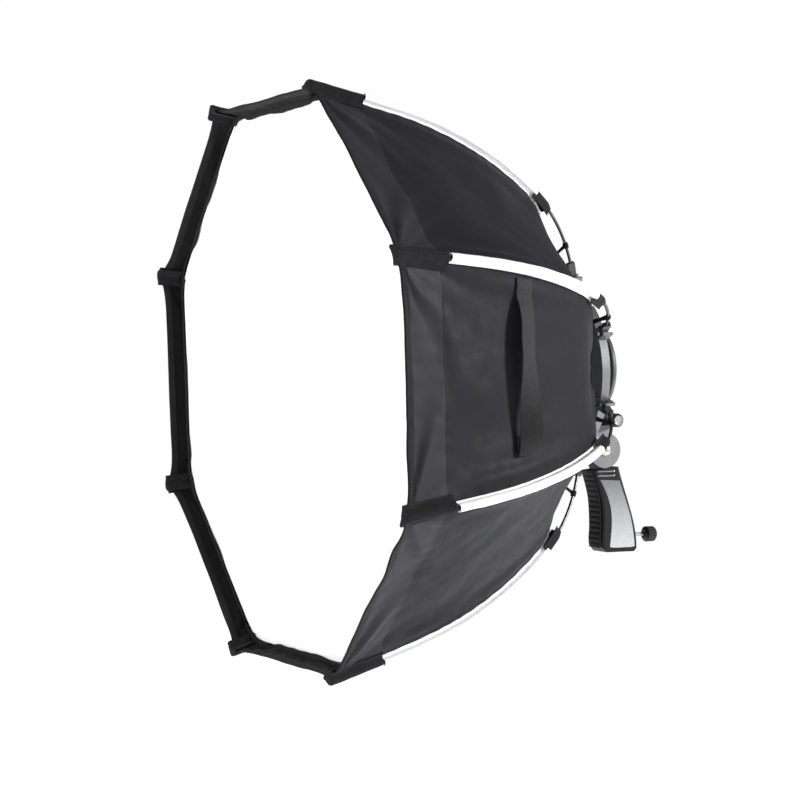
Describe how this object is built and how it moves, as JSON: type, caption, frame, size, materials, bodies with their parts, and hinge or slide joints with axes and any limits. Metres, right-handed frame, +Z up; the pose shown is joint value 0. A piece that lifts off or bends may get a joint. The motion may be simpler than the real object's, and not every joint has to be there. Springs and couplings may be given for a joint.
{
  "type": "studio softbox",
  "caption": "Folding octagonal studio softbox with a deep ribbed fabric bowl, recessed white diffuser and rear hub, on a tilting pistol grip with a stand socket and thumb screw.",
  "frame": {"origin": "centre of the mouth of the grip's stand socket", "axes": "+Z up along the stand socket, -Y the way the softbox faces, +X to the softbox's own left as seen from behind it"},
  "size_m": [0.7368, 0.6069, 0.7361],
  "materials": {
    "rib_rod": "ground spring steel rod",
    "rib_lug": "black painted steel",
    "rib_sleeve": "white woven nylon binding",
    "webbing": "black woven nylon webbing",
    "canopy_fabric": "coated black polyester outside, silver lining inside",
    "diffuser_cloth": "white translucent ripstop nylon",
    "grip_plastic": "fine grained black nylon",
    "grip_panel": "grey stippled inlay",
    "grip_rubber": "ridged black rubber",
    "cast_metal": "satin grey die casting",
    "neck_metal": "satin black painted casting",
    "hinge_ring": "satin grey casting",
    "steel": "plain turned steel",
    "screw_steel": "zinc plated steel",
    "knob_plastic": "moulded black nylon",
    "bolt_brass": "pale plated domed head"
  },
  "bodies": {
    "grip": {"grip_near_shell": "grip_plastic", "grip_far_shell": "grip_plastic", "near_side_panel": "grip_panel", "far_side_panel": "grip_panel", "finger_pad": "grip_rubber", "tilt_knuckle": "cast_metal", "stand_socket": "steel", "shell_screws": "screw_steel"},
    "thumb_screw": {"thumb_screw": "knob_plastic"},
    "head": {"tilt_fork": "cast_metal", "neck_block": "neck_metal", "hub_barrel": "cast_metal", "rear_flange": "cast_metal", "hinge_ring": "hinge_ring", "hinge_pins": "screw_steel", "pivot_bolt": "bolt_brass"},
    "clamp_knob": {"clamp_knob": "knob_plastic"},
    "tilt_lock_knob": {"tilt_lock_knob": "knob_plastic"},
    "diffuser": {"diffuser": "diffuser_cloth"},
    "rib_1": {"rib_rod_1": "rib_rod", "rib_lug_1": "rib_lug", "rib_sleeve_1": "rib_sleeve", "rib_webbing_1": "webbing", "canopy_panel_1": "canopy_fabric", "handle_strap": "webbing"},
    "rib_2": {"rib_rod_2": "rib_rod", "rib_lug_2": "rib_lug", "rib_sleeve_2": "rib_sleeve", "rib_webbing_2": "webbing", "canopy_panel_2": "canopy_fabric"},
    "rib_3": {"rib_rod_3": "rib_rod", "rib_lug_3": "rib_lug", "rib_sleeve_3": "rib_sleeve", "rib_webbing_3": "webbing", "canopy_panel_3": "canopy_fabric"},
    "rib_4": {"rib_rod_4": "rib_rod", "rib_lug_4": "rib_lug", "rib_sleeve_4": "rib_sleeve", "rib_webbing_4": "webbing", "canopy_panel_4": "canopy_fabric"},
    "rib_5": {"rib_rod_5": "rib_rod", "rib_lug_5": "rib_lug", "rib_sleeve_5": "rib_sleeve", "rib_webbing_5": "webbing", "canopy_panel_5": "canopy_fabric"},
    "rib_6": {"rib_rod_6": "rib_rod", "rib_lug_6": "rib_lug", "rib_sleeve_6": "rib_sleeve", "rib_webbing_6": "webbing", "canopy_panel_6": "canopy_fabric"},
    "rib_7": {"rib_rod_7": "rib_rod", "rib_lug_7": "rib_lug", "rib_sleeve_7": "rib_sleeve", "rib_webbing_7": "webbing", "canopy_panel_7": "canopy_fabric"},
    "rib_8": {"rib_rod_8": "rib_rod", "rib_lug_8": "rib_lug", "rib_sleeve_8": "rib_sleeve", "rib_webbing_8": "webbing", "canopy_panel_8": "canopy_fabric"}
  },
  "joints": [
    {"name": "head_tilt", "type": "hinge", "parent": "grip", "child": "head", "pos_m": [0, -0.019, 0.14], "axis": [1, 0, 0], "range_deg": [-80, 35]},
    {"name": "tilt_lock_turn", "type": "hinge", "parent": "head", "child": "tilt_lock_knob", "pos_m": [0, -0.019, 0.14], "axis": [-1, 0, 0], "range_deg": [0, 180]},
    {"name": "clamp_knob_turn", "type": "hinge", "parent": "head", "child": "clamp_knob", "pos_m": [0.0165, -0.00821, 0.18099], "axis": [1, 0, 0], "range_deg": [0, 360]},
    {"name": "thumb_screw_turn", "type": "hinge", "parent": "grip", "child": "thumb_screw", "pos_m": [0, 0.055, 0.0215], "axis": [0, 1, 0], "range_deg": [0, 720]},
    {"name": "rib_fold_1", "type": "hinge", "parent": "head", "child": "rib_1", "pos_m": [0.11932, -0.09062, 0.30056], "axis": [0.3827, 0.0387, -0.9231], "range_deg": [0, 30], "deforming": ["canopy_panel_1", "handle_strap"]},
    {"name": "rib_fold_2", "type": "hinge", "parent": "head", "child": "rib_2", "pos_m": [0.04942, -0.09355, 0.37039], "axis": [0.9239, 0.016, -0.3823], "range_deg": [0, 30], "deforming": ["canopy_panel_2"]},
    {"name": "rib_fold_3", "type": "hinge", "parent": "head", "child": "rib_3", "pos_m": [-0.04942, -0.09355, 0.37039], "axis": [0.9239, -0.016, 0.3823], "range_deg": [0, 30], "deforming": ["canopy_panel_3"]},
    {"name": "rib_fold_4", "type": "hinge", "parent": "head", "child": "rib_4", "pos_m": [-0.11932, -0.09062, 0.30056], "axis": [0.3827, -0.0387, 0.9231], "range_deg": [0, 30], "deforming": ["canopy_panel_4"]},
    {"name": "rib_fold_5", "type": "hinge", "parent": "head", "child": "rib_5", "pos_m": [-0.11932, -0.08648, 0.20181], "axis": [-0.3827, -0.0387, 0.9231], "range_deg": [0, 30], "deforming": ["canopy_panel_5"]},
    {"name": "rib_fold_6", "type": "hinge", "parent": "head", "child": "rib_6", "pos_m": [-0.04942, -0.08356, 0.13198], "axis": [-0.9239, -0.016, 0.3823], "range_deg": [0, 30], "deforming": ["canopy_panel_6"]},
    {"name": "rib_fold_7", "type": "hinge", "parent": "head", "child": "rib_7", "pos_m": [0.04942, -0.08356, 0.13198], "axis": [-0.9239, 0.016, -0.3823], "range_deg": [0, 30], "deforming": ["canopy_panel_7"]},
    {"name": "rib_fold_8", "type": "hinge", "parent": "head", "child": "rib_8", "pos_m": [0.11932, -0.08648, 0.20181], "axis": [-0.3827, 0.0387, -0.9231], "range_deg": [0, 30], "deforming": ["canopy_panel_8"]},
    {"name": "diffuser_off", "type": "slide", "parent": "head", "child": "diffuser", "axis": [0, -0.9991, -0.0419], "range_m": [0, 0.36], "deforming": ["diffuser"]}
  ],
  "couplings": [
    {"joint": "rib_fold_2", "follows": "rib_fold_1", "ratio": 1},
    {"joint": "rib_fold_3", "follows": "rib_fold_1", "ratio": 1},
    {"joint": "rib_fold_4", "follows": "rib_fold_1", "ratio": 1},
    {"joint": "rib_fold_5", "follows": "rib_fold_1", "ratio": 1},
    {"joint": "rib_fold_6", "follows": "rib_fold_1", "ratio": 1},
    {"joint": "rib_fold_7", "follows": "rib_fold_1", "ratio": 1},
    {"joint": "rib_fold_8", "follows": "rib_fold_1", "ratio": 1},
    {"joint": "diffuser_off", "follows": "rib_fold_1", "m_per_rad": 0.66}
  ]
}
